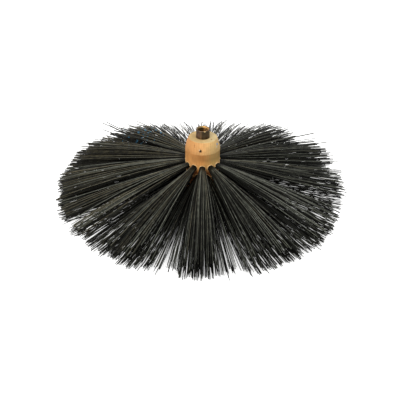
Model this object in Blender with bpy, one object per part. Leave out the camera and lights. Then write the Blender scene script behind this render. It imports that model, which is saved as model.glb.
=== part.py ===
# Drain cleaning brush head, in metres, +Z up, with its origin on the floor under its middle

import math
import random

import bmesh
import bpy
from mathutils import Matrix, Vector

# Overall
BRUSH_RADIUS = 0.225             # axis to the bristle tips
LOWER_ROW_HEIGHT = 0.0207        # floor to the lowest of the three rows of tuft holes
ROW_SPACING = 0.0155
CLEARANCE = 0.0003               # between pieces that touch
OVERRUN = 0.002                  # how far a cutter runs past what it cuts

# Wooden stock
STOCK_RADIUS = 0.0268
STOCK_TOP_RADIUS = 0.0221        # flat top face
STOCK_FOOT_MARGIN = 0.0125       # lower row down to the underside
BAND_HEIGHT = 0.0231             # upper row up to the foot of the shoulder
SHOULDER_HEIGHT = 0.0183
SHOULDER_CURVE_RADIUS = 0.042
TOP_EDGE_RADIUS = 0.0012
FOOT_EDGE_RADIUS = 0.0045
CENTRE_MARK_RADIUS = 0.0025      # dimple left by the lathe centre
CENTRE_MARK_DEPTH = 0.002
STOCK_SIDES_PER_TUFT = 4

# Tuft holes
TUFTS_PER_ROW = 13
HOLE_CORE_RADIUS = 0.014         # axis to the bottoms of the holes
HOLE_WALL = 0.0032               # wood between two holes of a row, at the surface
HOLE_CORE_WALL = 0.0007          # the same, at the bottoms
HOLE_SIDES = 10
ROOT_DROOP = math.radians(6.0)   # holes point down by this much

# Wire staples
STAPLE_WIRE = 0.0012
STAPLE_BITE = 0.005              # legs into the wood past the hole
STAPLE_GRIP = 0.0002             # crown into the folded bristles
FOLD_LENGTH = 0.0035             # hole bottom to the crown

# Tufts
STRANDS_IN_RINGS = (3, 7)        # inner ring, outer ring
RING_SHARES = (0.5, 1.0)         # of the way out to the edge of the tuft
RING_TURNS = (0.25, 0.0)         # of the way from one strand of the ring to the next
STRAND_WIDTH = 0.00138
STRAND_SEAT = 0.0015             # strand inside the packed root
TUFT_COLLAR = 0.0008             # packed root showing outside the stock
UPPER_TIP_HEIGHT = 0.0195        # floor to the middle of the upper tips
UPPER_TIP_HALF_HEIGHT = 0.0085
MIDDLE_TIP_HALF_HEIGHT = 0.0075
LOWER_TIP_HALF_HEIGHT = 0.0027
FAN_WALL = 0.004                 # free space between neighbouring fans, at the tips
LENGTH_SPREAD = 0.007            # longest tip to shortest
TIP_WANDER = 0.0007              # how far a tip strays from its even place
FLOOR_FLAT = 0.0005              # bristle pressed flat where it stands
LOW_TUFT_SHARES = {("upper", 6): 0.8, ("upper", 7): 0.7}    # tips hang lower than their row
FAN_STATIONS = 2
SEED = 18

# Threaded socket
SOCKET_RADIUS = 0.0104
SOCKET_STAND = 0.0133            # socket above the top face
THREAD_CORE_RADIUS = 0.0079      # crests of the internal thread
THREAD_DEPTH = 0.021
SOLID_END = 0.0025               # metal between the bore and the pin's hole
SOLID_FOOT = 0.0046              # metal between the pin's hole and the spigot
RIM_LAND = 0.0009                # flat rim round the mouth
SPIGOT_RADIUS = 0.007
SPIGOT_LENGTH = 0.012
SOCKET_CHAMFER = 0.0006
SOCKET_SIDES = 48

# Locking pin
PIN_RADIUS = 0.0013
PIN_FAR_REACH = 0.019            # past the axis, into the far wood
PIN_SUNK = 0.0016                # outer end below the surface
PIN_POINT = 0.004
PIN_SIDES = 16
PIN_AZIMUTH = math.radians(-97.0)

# The first upper tuft points at the viewer, along -Y.
FIRST_AZIMUTH = math.radians(-90.0)

PITCH = 2 * math.pi / TUFTS_PER_ROW
# Each row's height, and how far round it stands in pitches, from the first row's.
ROWS = {
    "upper": (LOWER_ROW_HEIGHT + 2 * ROW_SPACING, 0.0),
    "middle": (LOWER_ROW_HEIGHT + ROW_SPACING, 0.5),
    "lower": (LOWER_ROW_HEIGHT, 0.0),
}
STOCK_FOOT = LOWER_ROW_HEIGHT - STOCK_FOOT_MARGIN
SHOULDER_FOOT = ROWS["upper"][0] + BAND_HEIGHT
STOCK_TOP = SHOULDER_FOOT + SHOULDER_HEIGHT
SOCKET_TOP = STOCK_TOP + SOCKET_STAND
THREAD_BOTTOM = SOCKET_TOP - THREAD_DEPTH
PIN_HOLE_RADIUS = PIN_RADIUS + CLEARANCE
PIN_HEIGHT = THREAD_BOTTOM - SOLID_END - PIN_HOLE_RADIUS
SPIGOT_TOP = PIN_HEIGHT - PIN_HOLE_RADIUS - SOLID_FOOT
HOLE_DEPTH = STOCK_RADIUS - HOLE_CORE_RADIUS
HOLE_MOUTH_RADIUS = STOCK_RADIUS * math.sin(PITCH / 2) - HOLE_WALL / 2
HOLE_BOTTOM_RADIUS = HOLE_CORE_RADIUS * math.sin(PITCH / 2) - HOLE_CORE_WALL / 2
CROWN_PLACE = -HOLE_DEPTH + FOLD_LENGTH
LEG_OFFSET = HOLE_BOTTOM_RADIUS - CLEARANCE - STAPLE_WIRE / 2
HOLE_SLOPE = (HOLE_MOUTH_RADIUS - HOLE_BOTTOM_RADIUS) / HOLE_DEPTH
STRAND_RADIUS = STRAND_WIDTH / math.sqrt(3)
# The outer strands stand inside the flat-sided root, also where they end in it.
ROOT_RING_RADIUS = ((HOLE_MOUTH_RADIUS - CLEARANCE - HOLE_SLOPE * (STRAND_SEAT + TUFT_COLLAR))
                    * math.cos(math.pi / HOLE_SIDES) - STRAND_RADIUS)
# A strand's flat side is underneath, half its corner radius below its middle.
STRAND_REST = STRAND_RADIUS / 2 - FLOOR_FLAT
# The middle and lower rows' lowest strands stand on the floor.
TIP_SPANS = {
    "upper": (UPPER_TIP_HEIGHT, UPPER_TIP_HALF_HEIGHT),
    "middle": (STRAND_REST + MIDDLE_TIP_HALF_HEIGHT, MIDDLE_TIP_HALF_HEIGHT),
    "lower": (STRAND_REST + LOWER_TIP_HALF_HEIGHT, LOWER_TIP_HALF_HEIGHT),
}
FOLD_HALF_HEIGHT = LEG_OFFSET - STAPLE_WIRE / 2 - CLEARANCE
FOLD_HALF_WIDTH = math.sqrt((HOLE_BOTTOM_RADIUS * math.cos(math.pi / HOLE_SIDES) - CLEARANCE)**2
                            - FOLD_HALF_HEIGHT**2)
# The fans of the staggered rows fill one half pitch each.
TIP_HALF_WIDTH = BRUSH_RADIUS * math.tan(PITCH / 4) - FAN_WALL / 2


def clear_scene():
    for obj in list(bpy.data.objects):
        bpy.data.objects.remove(obj, do_unlink=True)


def make_material(name, colour, roughness, metallic=0.0):
    material = bpy.data.materials.new(name)
    material.use_nodes = True
    shader = material.node_tree.nodes["Principled BSDF"]
    shader.inputs["Base Color"].default_value = (*colour, 1.0)
    shader.inputs["Roughness"].default_value = roughness
    shader.inputs["Metallic"].default_value = metallic
    material.diffuse_color = (*colour, 1.0)
    return material


def add_object(name, mesh, material=None, parent=None):
    obj = bpy.data.objects.new(name, mesh)
    bpy.context.scene.collection.objects.link(obj)
    obj.parent = parent
    if material:
        mesh.materials.clear()
        mesh.materials.append(material)
    return obj


def add_helper(name, mesh, parent=None):
    """A cutter or a piece to be joined on: it is never part of the brush by itself."""
    helper = add_object(name, mesh, parent=parent)
    helper.hide_render = True
    helper.display_type = "WIRE"
    return helper


def mesh_from(bm, name, smooth_angle=None):
    mesh = bpy.data.meshes.new(name)
    bmesh.ops.recalc_face_normals(bm, faces=bm.faces)
    bm.to_mesh(mesh)
    bm.free()
    if smooth_angle is not None:
        mesh.shade_smooth()
        mesh.set_sharp_from_angle(angle=smooth_angle)
    return mesh


def add_boolean(obj, name, operation, operand=None, collection=None):
    modifier = obj.modifiers.new(name, "BOOLEAN")
    modifier.operation = operation
    modifier.solver = "EXACT"
    if collection:
        modifier.operand_type = "COLLECTION"
        modifier.collection = collection
    else:
        modifier.object = operand


def applied_mesh(obj, name):
    """The object's mesh with its modifiers applied. The object itself is removed."""
    graph = bpy.context.evaluated_depsgraph_get()
    mesh = bpy.data.meshes.new_from_object(obj.evaluated_get(graph))
    mesh.name = name
    bpy.data.objects.remove(obj, do_unlink=True)
    return mesh


def turned_mesh(profile, sides, name):
    """A solid of revolution about Z, from (radius, height) points that start and end on the axis."""
    bm = bmesh.new()
    verts = [bm.verts.new((radius, 0, height)) for radius, height in profile]
    edges = [bm.edges.new(pair) for pair in zip(verts, verts[1:])]
    bmesh.ops.spin(bm, geom=verts + edges, axis=(0, 0, 1), cent=(0, 0, 0),
                   steps=sides, angle=2 * math.pi, use_merge=True)
    bmesh.ops.remove_doubles(bm, verts=bm.verts, dist=CLEARANCE / 100)
    return mesh_from(bm, name, math.radians(30))


def arc_points(start, end, radius, steps):
    """Points of an arc from start to end that bulges to the right of the way from one to the other."""
    start, end = Vector(start), Vector(end)
    chord = end - start
    half = chord.length / 2
    outward = Vector((chord.y, -chord.x)).normalized()
    rise = math.sqrt(max(radius**2 - half**2, 0))
    centre = (start + end) / 2 - outward * rise
    turn = 2 * math.asin(min(half / radius, 1))
    return [centre + Matrix.Rotation(turn * i / steps, 2) @ (start - centre) for i in range(steps + 1)]


def along_x(radius_from, radius_to, x_from, x_to, sides):
    """A bmesh cone or cylinder lying along X."""
    bm = bmesh.new()
    middle = (x_from + x_to) / 2
    place = Matrix.Translation((middle, 0, 0)) @ Matrix.Rotation(math.pi / 2, 4, "Y")
    bmesh.ops.create_cone(bm, cap_ends=True, segments=sides, radius1=radius_from, radius2=radius_to,
                          depth=x_to - x_from, matrix=place)
    return bm


def add_box(bm, low, high):
    low, high = Vector(low), Vector(high)
    size = high - low
    place = Matrix.Translation((low + high) / 2) @ Matrix.Diagonal((*size, 1))
    bmesh.ops.create_cube(bm, size=1, matrix=place)


def slab_mesh(outline, half_thickness, up, name):
    """A flat outline in the plane of X and one other axis, made thick along up, the third."""
    bm = bmesh.new()
    up = Vector(up)
    across = up.cross(Vector((1, 0, 0)))
    corners = [Vector((x, 0, 0)) + across * width - up * half_thickness for x, width in outline]
    face = bm.faces.new([bm.verts.new(corner) for corner in corners])
    pushed = bmesh.ops.extrude_face_region(bm, geom=[face])["geom"]
    verts = [item for item in pushed if isinstance(item, bmesh.types.BMVert)]
    bmesh.ops.translate(bm, verts=verts, vec=up * 2 * half_thickness)
    return mesh_from(bm, name)


def bent_outline(open_end, crook, half_inside, half_outside, arm):
    """A U lying along X: its arms end at open_end, and its crook, arm thick, reaches crook."""
    inside = crook - math.copysign(arm, crook - open_end)
    return [(open_end, -half_outside), (crook, -half_outside), (crook, half_outside),
            (open_end, half_outside), (open_end, half_inside), (inside, half_inside),
            (inside, -half_inside), (open_end, -half_inside)]


# Places

def tuft_place(row, index):
    """From a tuft's frame, X out from the brush's axis at its row's height, to the brush's."""
    height, turn = ROWS[row]
    azimuth = FIRST_AZIMUTH + (index + turn) * PITCH
    return Matrix.Translation((0, 0, height)) @ Matrix.Rotation(azimuth, 4, "Z")


def hole_place(row, index):
    """From the hole's own frame, X out of the mouth, to the brush's."""
    return (tuft_place(row, index) @ Matrix.Translation((STOCK_RADIUS, 0, 0))
            @ Matrix.Rotation(ROOT_DROOP, 4, "Y"))


def pin_place():
    """X runs along the pin, out of the stock."""
    return Matrix.Translation((0, 0, PIN_HEIGHT)) @ Matrix.Rotation(PIN_AZIMUTH, 4, "Z")


# Wooden stock

def stock_profile():
    """Up the outside, over the top face and down the stepped seat of the socket, to the axis."""
    seat_radius = SOCKET_RADIUS + CLEARANCE
    seat_bottom = SPIGOT_TOP - CLEARANCE
    spigot_seat_radius = SPIGOT_RADIUS + CLEARANCE
    spigot_seat_bottom = seat_bottom - SPIGOT_LENGTH
    foot_arc = arc_points((STOCK_RADIUS - FOOT_EDGE_RADIUS, STOCK_FOOT),
                          (STOCK_RADIUS, STOCK_FOOT + FOOT_EDGE_RADIUS), FOOT_EDGE_RADIUS, 4)
    shoulder = arc_points((STOCK_RADIUS, SHOULDER_FOOT),
                          (STOCK_TOP_RADIUS, STOCK_TOP - TOP_EDGE_RADIUS), SHOULDER_CURVE_RADIUS, 5)
    top_edge = arc_points((STOCK_TOP_RADIUS, STOCK_TOP - TOP_EDGE_RADIUS),
                          (STOCK_TOP_RADIUS - TOP_EDGE_RADIUS, STOCK_TOP), TOP_EDGE_RADIUS, 2)
    return [(0, STOCK_FOOT + CENTRE_MARK_DEPTH), (CENTRE_MARK_RADIUS, STOCK_FOOT),
            *foot_arc, *shoulder, *top_edge[1:],
            (seat_radius, STOCK_TOP), (seat_radius, seat_bottom),
            (spigot_seat_radius, seat_bottom), (spigot_seat_radius, spigot_seat_bottom),
            (0, spigot_seat_bottom)]


def hole_cutter_mesh():
    """Tapered hole. Past the mouth it goes on widening, so the taper is one cone."""
    wide = HOLE_MOUTH_RADIUS + HOLE_SLOPE * OVERRUN
    bm = along_x(HOLE_BOTTOM_RADIUS, wide, -HOLE_DEPTH, OVERRUN, HOLE_SIDES)
    return mesh_from(bm, "tuft_hole_cutter")


def pilot_cutter_mesh():
    """The two slots that a staple's legs cut below the bottom of a hole."""
    bm = bmesh.new()
    half = STAPLE_WIRE / 2 + CLEARANCE
    for side in (-1, 1):
        middle = side * LEG_OFFSET
        add_box(bm, (-HOLE_DEPTH - STAPLE_BITE - CLEARANCE, -half, middle - half),
                (-HOLE_DEPTH + OVERRUN, half, middle + half))
    return mesh_from(bm, "staple_pilot_cutter")


def pin_hole_mesh():
    bm = along_x(PIN_HOLE_RADIUS, PIN_HOLE_RADIUS,
                 -PIN_FAR_REACH - CLEARANCE, STOCK_RADIUS + OVERRUN, PIN_SIDES)
    return mesh_from(bm, "pin_hole_cutter")


def build_stock(wood, axis, pin_hole):
    sides = TUFTS_PER_ROW * STOCK_SIDES_PER_TUFT
    stock = add_object("wood_stock", turned_mesh(stock_profile(), sides, "wood_stock"), wood, axis)
    cutters = bpy.data.collections.new("stock_cutters")
    bpy.context.scene.collection.children.link(cutters)
    cutters.hide_render = True
    hole_mesh, pilot_mesh = hole_cutter_mesh(), pilot_cutter_mesh()
    for row in ROWS:
        for index in range(TUFTS_PER_ROW):
            for mesh in (hole_mesh, pilot_mesh):
                cutter = add_helper(f"{mesh.name}_{row}_{index + 1:02d}", mesh, axis)
                cutter.matrix_local = hole_place(row, index)
                cutters.objects.link(cutter)
    cutters.objects.link(pin_hole)
    add_boolean(stock, "drilled holes", "DIFFERENCE", collection=cutters)
    return stock


# Tufts

def strand_places():
    """Even places over the tuft's round section, as shares of its radius, from the lowest one."""
    places = []
    for count, share, turn in zip(STRANDS_IN_RINGS, RING_SHARES, RING_TURNS):
        for k in range(count):
            angle = 2 * math.pi * (k + turn) / count
            places.append((share * math.sin(angle), -share * math.cos(angle)))
    return places


def strand_centres(row, index, across, upward, random_source):
    """The line of one strand, in the tuft's frame: X out from the brush's axis, Z up from the row."""
    height = ROWS[row][0]
    tip_height, half_height = TIP_SPANS[row]
    low_share = LOW_TUFT_SHARES.get((row, index), 1)
    wander = random_source.uniform(-1, 1) * TIP_WANDER
    tip_y = across * TIP_HALF_WIDTH + random_source.uniform(-1, 1) * TIP_WANDER
    reach = BRUSH_RADIUS - random_source.random() * LENGTH_SPREAD
    tip_x = math.sqrt(reach**2 - tip_y**2)
    tip_z = low_share * (tip_height + upward * half_height) - height
    if tip_z + height > STRAND_REST + TIP_WANDER:
        tip_z += wander
    root_y, root_z = across * ROOT_RING_RADIUS, upward * ROOT_RING_RADIUS
    run = tip_x - STOCK_RADIUS
    straight = -math.tan(ROOT_DROOP) * run
    sag = tip_z - root_z - straight
    points = []
    for station in [-STRAND_SEAT / run] + [i / FAN_STATIONS for i in range(1, FAN_STATIONS + 1)]:
        y = root_y + (tip_y - root_y) * station
        z = root_z + straight * station + sag * station * abs(station)
        points.append(Vector((STOCK_RADIUS + run * station, y, z)))
    return points


def add_strand(bm, centres):
    """A three-sided rod through the centres, with its flat side underneath."""
    rings = []
    for i, centre in enumerate(centres):
        ahead = centres[min(i + 1, len(centres) - 1)] - centres[max(i - 1, 0)]
        side = ahead.cross(Vector((0, 0, 1))).normalized()
        up = side.cross(ahead).normalized()
        corners = [math.radians(a) for a in (90, 210, 330)]
        rings.append([bm.verts.new(centre + STRAND_RADIUS * (side * math.cos(a) + up * math.sin(a)))
                      for a in corners])
    for near, far in zip(rings, rings[1:]):
        for k in range(3):
            bm.faces.new((near[k - 1], near[k], far[k], far[k - 1]))
    bm.faces.new(rings[0])
    bm.faces.new(rings[-1])


def cut_at_floor(bm, row):
    """The strands that stand on the floor are pressed flat there."""
    everything = [*bm.verts, *bm.edges, *bm.faces]
    bmesh.ops.bisect_plane(bm, geom=everything, plane_co=(0, 0, -ROWS[row][0]),
                           plane_no=(0, 0, -1), clear_outer=True)
    open_edges = [edge for edge in bm.edges if edge.is_boundary]
    if open_edges:
        bmesh.ops.holes_fill(bm, edges=open_edges, sides=0)


def strands_mesh(row, index):
    random_source = random.Random(f"{SEED} {row} {index}")
    bm = bmesh.new()
    for across, upward in strand_places():
        add_strand(bm, strand_centres(row, index, across, upward, random_source))
    cut_at_floor(bm, row)
    return mesh_from(bm, f"{row}_strands_{index + 1:02d}")


def staple_mesh():
    """Square wire bent to a U: the crown across the fold, the legs on into the wood."""
    half = STAPLE_WIRE / 2
    outline = bent_outline(-HOLE_DEPTH - STAPLE_BITE, CROWN_PLACE + half,
                           LEG_OFFSET - half, LEG_OFFSET + half, STAPLE_WIRE)
    return slab_mesh(outline, half, (0, 1, 0), "staple")


def packed_root_mesh():
    """The end of a tuft: packed in the tapered hole, folded round the crown of its staple.

    The crown grips the bristles, so a tuft and its staple are one solid.
    """
    slot = STAPLE_WIRE / 2 - STAPLE_GRIP
    fold_end = -HOLE_DEPTH + CLEARANCE
    pack_end = CROWN_PLACE + slot
    narrow = HOLE_BOTTOM_RADIUS + HOLE_SLOPE * (pack_end + HOLE_DEPTH) - CLEARANCE
    wide = HOLE_MOUTH_RADIUS + HOLE_SLOPE * TUFT_COLLAR - CLEARANCE
    bm = along_x(narrow, wide, pack_end, TUFT_COLLAR, HOLE_SIDES)
    root = add_object("packed_root", mesh_from(bm, "packed_root"))
    crook = CROWN_PLACE - slot - fold_end
    outline = bent_outline(pack_end + CLEARANCE, fold_end, slot, FOLD_HALF_WIDTH, crook)
    fold = add_helper("fold", slab_mesh(outline, FOLD_HALF_HEIGHT, (0, 0, 1), "fold"))
    staple = add_helper("staple", staple_mesh())
    add_boolean(root, "folded end", "UNION", fold)
    add_boolean(root, "staple", "UNION", staple)
    mesh = applied_mesh(root, "packed_root")
    for helper in (fold, staple):
        bpy.data.objects.remove(helper, do_unlink=True)
    return mesh


def build_tuft(row, index, root_mesh, bristle, axis):
    tuft = add_object(f"{row}_tuft_{index + 1:02d}", root_mesh.copy(), bristle, axis)
    tuft.matrix_local = hole_place(row, index)
    strands = add_helper(f"{row}_strands_{index + 1:02d}", strands_mesh(row, index), axis)
    strands.matrix_local = tuft_place(row, index)
    add_boolean(tuft, "strands", "UNION", strands)
    # In a thinner root the strands touch, and then they join there too.
    tuft.modifiers["strands"].use_self = True
    return tuft


# Threaded socket

def socket_profile():
    """From the foot of the spigot up the outside, over the rim and down the bore."""
    spigot_foot = SPIGOT_TOP - SPIGOT_LENGTH
    lead_in_radius = SOCKET_RADIUS - RIM_LAND
    lead_in_depth = lead_in_radius - THREAD_CORE_RADIUS
    return [(0, spigot_foot), (SPIGOT_RADIUS - SOCKET_CHAMFER, spigot_foot),
            (SPIGOT_RADIUS, spigot_foot + SOCKET_CHAMFER), (SPIGOT_RADIUS, SPIGOT_TOP),
            (SOCKET_RADIUS - SOCKET_CHAMFER, SPIGOT_TOP), (SOCKET_RADIUS, SPIGOT_TOP + SOCKET_CHAMFER),
            (SOCKET_RADIUS, SOCKET_TOP), (lead_in_radius, SOCKET_TOP),
            (THREAD_CORE_RADIUS, SOCKET_TOP - lead_in_depth), (THREAD_CORE_RADIUS, THREAD_BOTTOM),
            (0, THREAD_BOTTOM)]


def build_socket(brass, axis, pin_hole):
    socket = add_object("threaded_socket", turned_mesh(socket_profile(), SOCKET_SIDES, "threaded_socket"),
                        brass, axis)
    add_boolean(socket, "pin hole", "DIFFERENCE", pin_hole)
    return socket


# Locking pin

def surface_radius_at_pin():
    """Radius of the shoulder at the height of the pin."""
    points = stock_profile()
    outside = [p for p in points if p[1] >= SHOULDER_FOOT and p[0] >= STOCK_TOP_RADIUS - TOP_EDGE_RADIUS]
    for (r0, z0), (r1, z1) in zip(outside, outside[1:]):
        if z0 <= PIN_HEIGHT <= z1 and z1 > z0:
            return r0 + (r1 - r0) * (PIN_HEIGHT - z0) / (z1 - z0)
    return STOCK_RADIUS


def build_pin(steel, axis):
    outer_end = surface_radius_at_pin() - PIN_SUNK
    shank = along_x(PIN_RADIUS, PIN_RADIUS, -PIN_FAR_REACH + PIN_POINT, outer_end, PIN_SIDES)
    inner_face = min(shank.faces, key=lambda face: face.calc_center_median().x)
    point = bmesh.ops.poke(shank, faces=[inner_face])["verts"]
    bmesh.ops.translate(shank, verts=point, vec=(-PIN_POINT, 0, 0))
    pin = add_object("locking_pin", mesh_from(shank, "locking_pin", math.radians(30)), steel, axis)
    pin.matrix_local = pin_place()
    return pin


def build_brush():
    clear_scene()
    axis = bpy.data.objects.new("brush_axis", None)
    bpy.context.scene.collection.objects.link(axis)
    wood = make_material("beech", (0.72, 0.42, 0.19), 0.6)
    brass = make_material("brass", (0.45, 0.30, 0.15), 0.35, 1.0)
    steel = make_material("steel", (0.35, 0.34, 0.33), 0.4, 1.0)
    bristle = make_material("bristle", (0.022, 0.022, 0.02), 0.45)
    pin_hole = add_helper("pin_hole_cutter", pin_hole_mesh(), axis)
    pin_hole.matrix_local = pin_place()
    build_stock(wood, axis, pin_hole)
    build_socket(brass, axis, pin_hole)
    build_pin(steel, axis)
    root_mesh = packed_root_mesh()
    for row in ROWS:
        for index in range(TUFTS_PER_ROW):
            build_tuft(row, index, root_mesh, bristle, axis)


build_brush()
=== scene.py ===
# Looks of a drain cleaning brush head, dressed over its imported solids

import math
import random

import bmesh
import bpy
from mathutils import Matrix, Vector, noise


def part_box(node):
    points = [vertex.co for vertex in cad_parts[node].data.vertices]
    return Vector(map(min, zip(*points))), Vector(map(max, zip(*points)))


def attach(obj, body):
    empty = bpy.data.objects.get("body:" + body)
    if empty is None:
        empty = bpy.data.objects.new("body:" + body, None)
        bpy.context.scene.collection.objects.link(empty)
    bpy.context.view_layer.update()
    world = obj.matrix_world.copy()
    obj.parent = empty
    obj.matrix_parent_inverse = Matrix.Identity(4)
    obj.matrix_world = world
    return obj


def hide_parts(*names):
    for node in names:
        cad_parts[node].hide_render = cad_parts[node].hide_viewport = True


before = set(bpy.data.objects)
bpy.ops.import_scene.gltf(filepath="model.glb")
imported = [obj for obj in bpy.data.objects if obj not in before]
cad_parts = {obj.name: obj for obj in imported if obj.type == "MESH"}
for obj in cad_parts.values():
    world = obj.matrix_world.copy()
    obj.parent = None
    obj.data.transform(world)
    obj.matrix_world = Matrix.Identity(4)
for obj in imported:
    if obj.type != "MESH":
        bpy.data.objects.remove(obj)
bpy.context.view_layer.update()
mm = 0.001    # all lengths are in metres
print("frame loaded:", len(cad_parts), "solids")


# Small tools for meshes

weld = 0.001 * mm    # points closer than this are one


def inMetres(lengths):    # lengths in mm
    return [length * mm for length in lengths]


def turned(profile, sides):    # a solid turned about Z, from a profile that starts and ends on the axis
    bm = bmesh.new()
    verts = [bm.verts.new((radius, 0, height)) for radius, height in profile]
    edges = [bm.edges.new(pair) for pair in zip(verts, verts[1:])]
    bmesh.ops.spin(bm, geom=verts + edges, axis=(0, 0, 1), cent=(0, 0, 0),
                   steps=sides, angle=math.tau, use_merge=True)
    bmesh.ops.remove_doubles(bm, verts=bm.verts, dist=weld)
    bmesh.ops.recalc_face_normals(bm, faces=bm.faces)
    return bm


def meshOf(bm, name):
    mesh = bpy.data.meshes.new(name)
    bm.to_mesh(mesh)
    bm.free()
    return mesh


def smoothShaded(mesh, degrees):    # smooth, but for edges sharper than this
    mesh.shade_smooth()
    mesh.set_sharp_from_angle(angle=math.radians(degrees))
    return mesh


def newObject(name, data):
    obj = bpy.data.objects.new(name, data)
    bpy.context.scene.collection.objects.link(obj)
    return obj


def cutMesh(mesh, cutters, name):    # takes each cutter away from the mesh, one after the other
    blank = newObject(name, mesh)
    helpers = [newObject(f"{name}Cutter", cutter) for cutter in cutters]
    for helper in helpers:
        cut = blank.modifiers.new("cut", "BOOLEAN")
        cut.operation = "DIFFERENCE"
        cut.solver = "EXACT"
        cut.object = helper
    graph = bpy.context.evaluated_depsgraph_get()
    result = bpy.data.meshes.new_from_object(blank.evaluated_get(graph))
    result.name = name
    for obj in [blank, *helpers]:
        bpy.data.objects.remove(obj, do_unlink=True)
    return result


def addPiece(name, mesh, material, replaced=()):
    piece = newObject(name, mesh)
    mesh.materials.clear()
    mesh.materials.append(material)
    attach(piece, "root")
    if replaced:
        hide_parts(*replaced)


# Small tools for materials

def hexColour(code):    # sRGB hex to the linear value that a socket takes
    channels = [int(code[i:i + 2], 16) / 255 for i in (1, 3, 5)]
    return (*[c / 12.92 if c <= 0.04045 else ((c + 0.055) / 1.055) ** 2.4 for c in channels], 1.0)


def newMaterial(name):    # with its tree, its shader and the link to a point's place on the object
    material = bpy.data.materials.new(name)
    material.use_nodes = True
    tree = material.node_tree
    return material, tree, tree.nodes["Principled BSDF"], (addNode(tree, "TexCoord"), "Object")


def setNode(tree, node, links=None, values=None):    # links: a socket to another node and its output
    for key, value in (values or {}).items():
        node.inputs[key].default_value = value
    for key, (source, output) in (links or {}).items():
        tree.links.new(source.outputs[output], node.inputs[key])
    return node


def addNode(tree, kind, links=None, values=None, stops=None, **settings):
    node = tree.nodes.new("ShaderNode" + kind)
    for key, value in settings.items():
        setattr(node, key, value)
    if stops:
        points = node.color_ramp.elements
        stops = [*stops]
        while len(points) < len(stops):
            points.new(1.0)
        for point, (place, colour) in zip(points, stops):
            point.position = place
            point.color = hexColour(colour)
    return setNode(tree, node, links, values)


def waveScale(spacing):    # a wave texture repeats every 2 pi / 20 at a scale of 1
    return math.tau / 20 / spacing


# Turned stock: the sizes of the solid, from its box where that gives them

stockLow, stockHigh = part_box("wood_stock")
socketLow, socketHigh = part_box("threaded_socket")
stock = {
    "radius": stockHigh.x,
    "foot": stockLow.z,
    "top": stockHigh.z,
    "topRadius": 22.1 * mm,
    "topLoop": 16 * mm,    # a ring of points in the flat top
    "topEdge": 1.2 * mm,
    "footEdge": 4.5 * mm,
    "bandLoops": (0.85, 0.7, 0.55, 0.4, 0.25, 0.1),    # rings of points, as shares of the band's height
    "shoulder": 74.8 * mm,    # scribed line, where the band ends
    "shoulderBulge": 0.74 * mm,    # how far the shoulder bows out past a straight cone
    "line": (0.8 * mm, 0.4 * mm),    # width and depth
    "centreMark": (2.5 * mm, 2.0 * mm),    # radius and depth of the lathe's mark
    "socketSeat": 74.8 * mm,
    "socketGap": 0.3 * mm,
    "spigotHole": (7.3 * mm, 62.8 * mm),    # radius and floor
    "uneven": (9.0 * mm, 0.12 * mm),    # length and depth of the waves that leave it out of true
    "sides": 104,
}
holes = {
    "perRow": 13,
    "firstAzimuth": -90,
    "rows": {    # height, and turn in shares of the pitch
        "upper": (51.7 * mm, 0.0),
        "middle": (36.2 * mm, 0.5),
        "lower": (20.7 * mm, 0.0),
    },
    "mouth": 4.81 * mm,
    "bottom": 3.0 * mm,
    "depth": 12.8 * mm,
    "overrun": 2.0 * mm,    # of the cutter, out of the wood
    "droop": 6.0,
    "sides": 24,
}
nail = {
    "height": 81.3 * mm,
    "azimuth": -97.0,
    "surface": 26.1 * mm,    # where its hole comes out of the wood
    "farEnd": -19.3 * mm,
    "holeRadius": 1.6 * mm,
    "flare": (2.6 * mm, 1.3 * mm, 0.4 * mm),    # ragged mouth: radius, depth, height where it is widest
    "overrun": 4.0 * mm,
    "sides": 20,
    # near black: brown oxide, and painted shade of the nail's sunk hole
    "tones": ("#0e0b09", "#1e1a16", "#4a4741"),
    "blotch": 1.429 * mm,
}
nicks = [    # in mm: place, then width, height and depth, and lean in degrees
    ((-12.3, -20.4, 88.2), (0.6, 6.4, 0.9), 8),
    ((11.7, -21.4, 86.7), (0.9, 0.9, 0.9), 0),
    ((11.7, -19.9, 90.1), (0.7, 0.8, 0.8), 0),
    ((13.1, -9.3, 93.1), (1.2, 1.0, 1.0), 0),
    ((-3.5, -24.9, 84.6), (1.0, 1.3, 0.7), 20),
]


def holeAzimuth(index, turn):
    return math.radians(holes["firstAzimuth"]) + (index + turn) * (math.tau / holes["perRow"])


def holePlace(row, index):    # from a hole's own frame, X out of its mouth, to the brush's
    height, turn = holes["rows"][row]
    return (Matrix.Translation((0, 0, height)) @ Matrix.Rotation(holeAzimuth(index, turn), 4, "Z")
            @ Matrix.Translation((stock["radius"], 0, 0))
            @ Matrix.Rotation(math.radians(holes["droop"]), 4, "Y"))


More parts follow.
